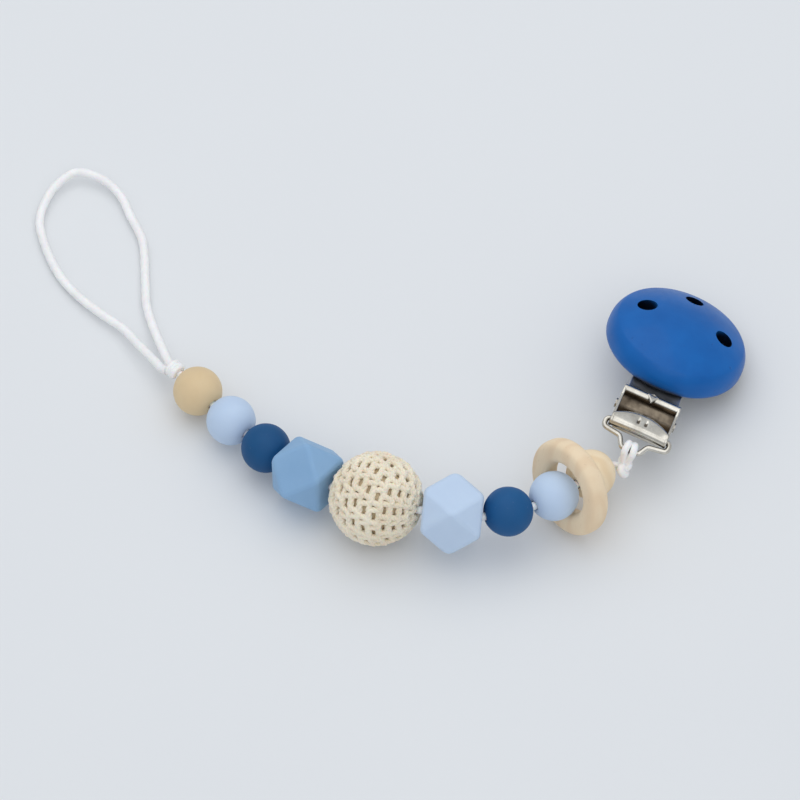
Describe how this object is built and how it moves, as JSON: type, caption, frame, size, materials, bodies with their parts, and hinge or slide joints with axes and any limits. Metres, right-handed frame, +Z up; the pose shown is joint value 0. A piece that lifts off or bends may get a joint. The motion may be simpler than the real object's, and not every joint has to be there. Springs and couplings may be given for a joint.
{
  "type": "soother clip",
  "caption": "Beaded soother clip: a metal clip with a painted wooden disc, a string of silicone, wooden and crocheted beads, a wooden ring, and a cord loop for the soother.",
  "frame": {"origin": "centre of the bottom of the assembly's bounding box, on the table it lies on", "axes": "+X along the string from the cord loop towards the clip, +Z up from the table, with the string laid out in its usual shallow curve"},
  "size_m": [0.176, 0.1223, 0.0249],
  "materials": {
    "painted_wood": "blue paint on turned wood, satin",
    "nickel_steel": "nickel-plated pressed steel and wire, lightly worn",
    "insert_plastic": "moulded, matt",
    "natural_wood": "untreated beech, sanded",
    "light_blue_silicone": "matt food-grade silicone",
    "dark_blue_silicone": "matt food-grade silicone",
    "mid_blue_silicone": "matt food-grade silicone",
    "navy_silicone": "matt food-grade silicone",
    "oatmeal_silicone": "matt food-grade silicone",
    "cotton_yarn": "crocheted cotton yarn",
    "satin_cord": "woven satin cord"
  },
  "bodies": {
    "clip_body": {"wooden_disc": "painted_wood", "front_plate": "nickel_steel", "disc_screws": "nickel_steel", "hinge_pin": "nickel_steel"},
    "jaw": {"jaw_plate": "nickel_steel", "jaw_pad": "insert_plastic"},
    "lever": {"cam_lever": "nickel_steel"},
    "wire": {"wire_loop": "nickel_steel"},
    "tail": {"tail_bight": "satin_cord", "tail_knot": "satin_cord"},
    "string_wood_bead": {"cord_in_wood_bead": "satin_cord"},
    "wood_bead": {"wood_bead": "natural_wood"},
    "string_light_blue_bead_1": {"cord_in_light_blue_bead_1": "satin_cord"},
    "light_blue_bead_1": {"light_blue_bead_1": "light_blue_silicone"},
    "string_dark_blue_bead": {"cord_in_dark_blue_bead": "satin_cord"},
    "dark_blue_bead": {"dark_blue_bead": "dark_blue_silicone"},
    "string_light_blue_hex_bead": {"cord_in_light_blue_hex_bead": "satin_cord"},
    "light_blue_hex_bead": {"light_blue_hex_bead": "light_blue_silicone"},
    "string_crochet_bead": {"cord_in_crochet_bead": "satin_cord"},
    "crochet_bead": {"crochet_bead_core": "natural_wood", "crochet_bead_cover": "cotton_yarn"},
    "string_mid_blue_hex_bead": {"cord_in_mid_blue_hex_bead": "satin_cord"},
    "mid_blue_hex_bead": {"mid_blue_hex_bead": "mid_blue_silicone"},
    "string_navy_bead": {"cord_in_navy_bead": "satin_cord"},
    "navy_bead": {"navy_bead": "navy_silicone"},
    "string_light_blue_bead_2": {"cord_in_light_blue_bead_2": "satin_cord"},
    "light_blue_bead_2": {"light_blue_bead_2": "light_blue_silicone"},
    "string_oatmeal_bead": {"cord_in_oatmeal_bead": "satin_cord"},
    "oatmeal_bead": {"oatmeal_bead": "oatmeal_silicone"},
    "ring": {"wooden_ring": "natural_wood"},
    "knot": {"loop_knot": "satin_cord"},
    "loop": {"soother_loop": "satin_cord"}
  },
  "joints": [
    {"name": "lever_hinge", "type": "hinge", "parent": "clip_body", "child": "lever", "pos_m": [0.06246, -0.02161, 0.01015], "axis": [0.9144, -0.3397, -0.22], "range_deg": [0, 95]},
    {"name": "jaw_hinge", "type": "hinge", "parent": "clip_body", "child": "jaw", "pos_m": [0.06246, -0.02161, 0.01015], "axis": [0.9144, -0.3397, -0.22], "range_deg": [-25, 0]},
    {"name": "wire_hinge", "type": "hinge", "parent": "clip_body", "child": "wire", "pos_m": [0.06063, -0.02921, 0.01427], "axis": [0.9144, -0.3397, -0.22], "range_deg": [-65, 22]},
    {"name": "tail_swing", "type": "hinge", "parent": "wire", "child": "tail", "pos_m": [0.05841, -0.03425, 0.01281], "axis": [0.9144, -0.3397, -0.22], "range_deg": [-35, 28]},
    {"name": "bend_wood_bead", "type": "hinge", "parent": "tail", "child": "string_wood_bead", "pos_m": [0.05299, -0.03466, 0.00841], "axis": [0, 0, 1], "range_deg": [-40, 10]},
    {"name": "spin_wood_bead", "type": "hinge", "parent": "string_wood_bead", "child": "wood_bead", "pos_m": [0.04899, -0.03926, 0.01004], "axis": [0.6337, 0.729, -0.2588], "continuous": true},
    {"name": "bend_light_blue_bead_1", "type": "hinge", "parent": "string_wood_bead", "child": "string_light_blue_bead_1", "pos_m": [0.0451, -0.04374, 0.01163], "axis": [0, 0, 1], "range_deg": [-6, 36]},
    {"name": "spin_light_blue_bead_1", "type": "hinge", "parent": "string_light_blue_bead_1", "child": "light_blue_bead_1", "pos_m": [0.04001, -0.04717, 0.01206], "axis": [0.827, 0.5578, -0.0698], "continuous": true},
    {"name": "bend_dark_blue_bead", "type": "hinge", "parent": "string_light_blue_bead_1", "child": "string_dark_blue_bead", "pos_m": [0.03492, -0.0506, 0.01249], "axis": [0, 0, 1], "range_deg": [-4, 42]},
    {"name": "spin_dark_blue_bead", "type": "hinge", "parent": "string_dark_blue_bead", "child": "dark_blue_bead", "pos_m": [0.02898, -0.05219, 0.01259], "axis": [0.9658, 0.2588, -0.0175], "continuous": true},
    {"name": "bend_light_blue_hex_bead", "type": "hinge", "parent": "string_dark_blue_bead", "child": "string_light_blue_hex_bead", "pos_m": [0.02297, -0.0538, 0.0127], "axis": [0, 0, 1], "range_deg": [-0.5, 40]},
    {"name": "spin_light_blue_hex_bead", "type": "hinge", "parent": "string_light_blue_hex_bead", "child": "light_blue_hex_bead", "pos_m": [0.01559, -0.05316, 0.01309], "axis": [0.9948, -0.087, -0.0523], "continuous": true},
    {"name": "bend_crochet_bead", "type": "hinge", "parent": "string_light_blue_hex_bead", "child": "string_crochet_bead", "pos_m": [0.008, -0.05249, 0.01349], "axis": [0, 0, 1], "range_deg": [-1, 36]},
    {"name": "spin_crochet_bead", "type": "hinge", "parent": "string_crochet_bead", "child": "crochet_bead", "pos_m": [-0.00262, -0.04799, 0.01207], "axis": [0.9136, -0.3878, 0.1219], "continuous": true},
    {"name": "bend_mid_blue_hex_bead", "type": "hinge", "parent": "string_crochet_bead", "child": "string_mid_blue_hex_bead", "pos_m": [-0.01311, -0.04354, 0.01067], "axis": [0, 0, 1], "range_deg": [-2.5, 31]},
    {"name": "spin_mid_blue_hex_bead", "type": "hinge", "parent": "string_mid_blue_hex_bead", "child": "mid_blue_hex_bead", "pos_m": [-0.01899, -0.03902, 0.00976], "axis": [0.7874, -0.6042, 0.1219], "continuous": true},
    {"name": "bend_navy_bead", "type": "hinge", "parent": "string_mid_blue_hex_bead", "child": "string_navy_bead", "pos_m": [-0.02485, -0.03452, 0.00886], "axis": [0, 0, 1], "range_deg": [-14, 28]},
    {"name": "spin_navy_bead", "type": "hinge", "parent": "string_navy_bead", "child": "navy_bead", "pos_m": [-0.02928, -0.03017, 0.00831], "axis": [0.7105, -0.6982, 0.0872], "continuous": true},
    {"name": "bend_light_blue_bead_2", "type": "hinge", "parent": "string_navy_bead", "child": "string_light_blue_bead_2", "pos_m": [-0.03367, -0.02585, 0.00777], "axis": [0, 0, 1], "range_deg": [-23, 29]},
    {"name": "spin_light_blue_bead_2", "type": "hinge", "parent": "string_light_blue_bead_2", "child": "light_blue_bead_2", "pos_m": [-0.03785, -0.0213, 0.00756], "axis": [0.6752, -0.7368, 0.0349], "continuous": true},
    {"name": "bend_oatmeal_bead", "type": "hinge", "parent": "string_light_blue_bead_2", "child": "string_oatmeal_bead", "pos_m": [-0.04202, -0.01675, 0.00734], "axis": [0, 0, 1], "range_deg": [-24, 26]},
    {"name": "spin_oatmeal_bead", "type": "hinge", "parent": "string_oatmeal_bead", "child": "oatmeal_bead", "pos_m": [-0.04611, -0.01212, 0.00729], "axis": [0.6626, -0.7489, 0.0087], "continuous": true},
    {"name": "ring_swing", "type": "hinge", "parent": "string_light_blue_bead_1", "child": "ring", "pos_m": [0.0451, -0.04374, 0.01163], "axis": [0.827, 0.5578, -0.0698], "continuous": true},
    {"name": "bend_loop_knot", "type": "hinge", "parent": "string_oatmeal_bead", "child": "knot", "pos_m": [-0.05022, -0.00748, 0.00724], "axis": [0, 0, 1], "range_deg": [-25, 25]},
    {"name": "loop_lift", "type": "hinge", "parent": "knot", "child": "loop", "pos_m": [-0.05187, -0.00561, 0.00721], "axis": [-0.749, -0.6626, 0], "range_deg": [-80, 30]}
  ],
  "couplings": [
    {"joint": "jaw_hinge", "follows": "lever_hinge", "ratio": -0.26316}
  ]
}
